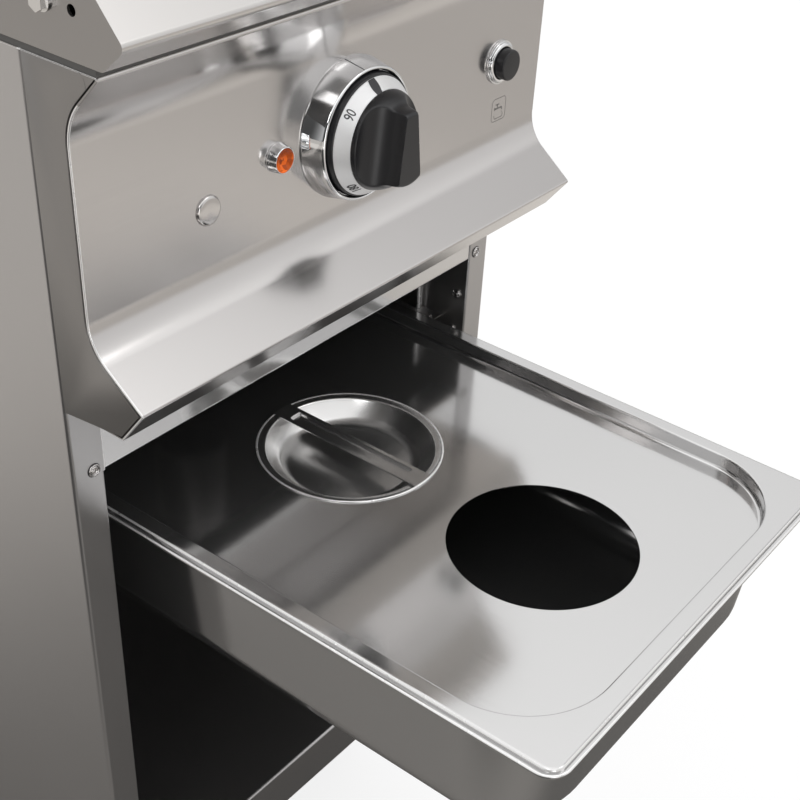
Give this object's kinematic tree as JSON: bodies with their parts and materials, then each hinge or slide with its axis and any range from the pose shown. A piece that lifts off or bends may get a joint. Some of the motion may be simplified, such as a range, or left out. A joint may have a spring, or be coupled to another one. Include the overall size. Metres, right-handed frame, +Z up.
{
  "type": "electric multi-cooker",
  "caption": "Free-standing electric multi-cooker: steel cabinet with a sunk tank, sloping control fascia, and a lidded drain container that slides out on runners.",
  "frame": {"origin": "middle of the whole object's footprint on the floor, with the container drawn out as pictured", "axes": "+X to the right seen from the front, +Y to the back, +Z up"},
  "size_m": [0.409, 0.9384, 0.87],
  "materials": {
    "panel_steel": "brushed",
    "fascia_steel": "brushed across",
    "pressed_steel": "bright",
    "bright_steel": "bright",
    "chrome": "polished",
    "silver": "satin silver",
    "black_plastic": "matte",
    "pale_plastic": "matte",
    "lens": "clear orange",
    "rubber": "matte",
    "heater_metal": "dull",
    "aluminium": "satin",
    "wool": "soft"
  },
  "bodies": {
    "cabinet": {"back_panel": "panel_steel", "blanking_cap": "bright_steel", "bracket_screws": "bright_steel", "button_nut": "black_plastic", "button_ring": "chrome", "button_switch": "black_plastic", "cable_gland": "black_plastic", "compartment_tray": "panel_steel", "contactor": "black_plastic", "cross_rail": "panel_steel", "device_rail": "panel_steel", "drain_pipe": "panel_steel", "element_clamps": "aluminium", "fascia": "fascia_steel", "fascia_cheek_left": "fascia_steel", "fascia_cheek_right": "fascia_steel", "fill_pipe": "bright_steel", "floor_panel": "panel_steel", "foot_nuts": "pale_plastic", "foot_shoes": "black_plastic", "foot_sleeves": "panel_steel", "gland_nut": "black_plastic", "heating_elements": "heater_metal", "insulation": "wool", "joining_bolts": "bright_steel", "knob_bezel": "chrome", "lamp_bezel": "chrome", "lamp_body": "black_plastic", "lamp_lens": "lens", "lamp_nut": "pale_plastic", "post_rivets": "bright_steel", "runner_brackets": "panel_steel", "runner_left": "panel_steel", "runner_right": "panel_steel", "safety_thermostat": "black_plastic", "side_panel_left": "panel_steel", "side_panel_right": "panel_steel", "tank": "panel_steel", "terminal_blocks": "pale_plastic", "thermostat_body": "black_plastic", "thermostat_bulb": "bright_steel", "upright_posts": "panel_steel", "water_valve": "pale_plastic", "worktop": "panel_steel", "worktop_seal": "rubber"},
    "drawer": {"container": "pressed_steel"},
    "lid": {"lid": "pressed_steel"},
    "dish_plug": {"dish_bowl": "pressed_steel", "dish_handle": "pressed_steel"},
    "control_knob": {"knob_grip": "black_plastic", "dial_ring": "silver", "thermostat_shaft": "bright_steel"},
    "fill_button": {"button_cap": "black_plastic", "button_spring": "bright_steel"},
    "drain_plug": {"plug_seal": "rubber", "plug_stopper": "bright_steel", "plug_handle": "bright_steel"}
  },
  "joints": [
    {"name": "drawer_slide", "type": "slide", "parent": "cabinet", "child": "drawer", "axis": [0, -1, 0], "range_m": [-0.3124, 0.06]},
    {"name": "lid_lift", "type": "slide", "parent": "drawer", "child": "lid", "axis": [0, 0, 1], "range_m": [0, 0.02]},
    {"name": "dish_lift", "type": "slide", "parent": "lid", "child": "dish_plug", "axis": [0, 0, 1], "range_m": [0, 0.03]},
    {"name": "knob_turn", "type": "hinge", "parent": "cabinet", "child": "control_knob", "pos_m": [0, -0.1882, 0.7329], "axis": [0, 1, 0], "range_deg": [0, 270]},
    {"name": "button_press", "type": "slide", "parent": "cabinet", "child": "fill_button", "axis": [0, 1, 0], "range_m": [0, 0.003], "stiffness_N_per_m": 400, "springref_m": -0.002},
    {"name": "drain_plug_lift", "type": "slide", "parent": "cabinet", "child": "drain_plug", "axis": [0, 0, 1], "range_m": [0, 0.06]}
  ]
}
